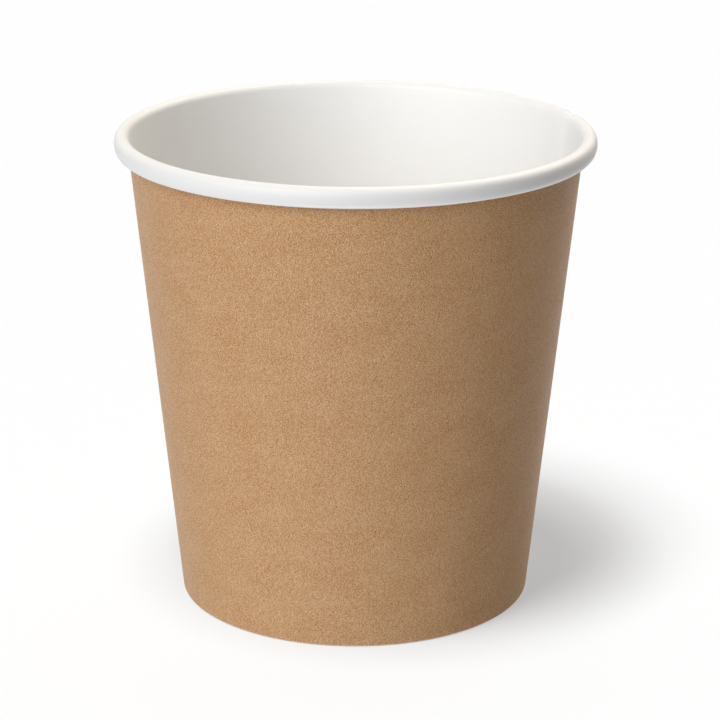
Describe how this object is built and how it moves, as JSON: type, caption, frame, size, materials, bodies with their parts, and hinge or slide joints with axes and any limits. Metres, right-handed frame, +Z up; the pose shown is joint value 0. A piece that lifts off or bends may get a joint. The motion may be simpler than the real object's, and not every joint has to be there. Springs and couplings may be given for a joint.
{
  "type": "paper coffee cup",
  "caption": "Small single-wall paper cup: a tapered kraft wall with a lapped side seam and a rolled white rim, closed by a recessed disc that the folded foot grips.",
  "frame": {"origin": "centre of the foot, on the surface that the cup stands on", "axes": "+Z up along the cup's axis; the side seam's outside edge lies 4 degrees from +X towards +Y"},
  "size_m": [0.062, 0.062, 0.062],
  "materials": {
    "kraft_board": "uncoated kraft outside with short fibres, smooth white coating inside and on the rolled rim",
    "white_board": "smooth white coating above, bare board below"
  },
  "bodies": {
    "root": {"sidewall": "kraft_board", "bottom_disc": "white_board"}
  },
  "joints": []
}
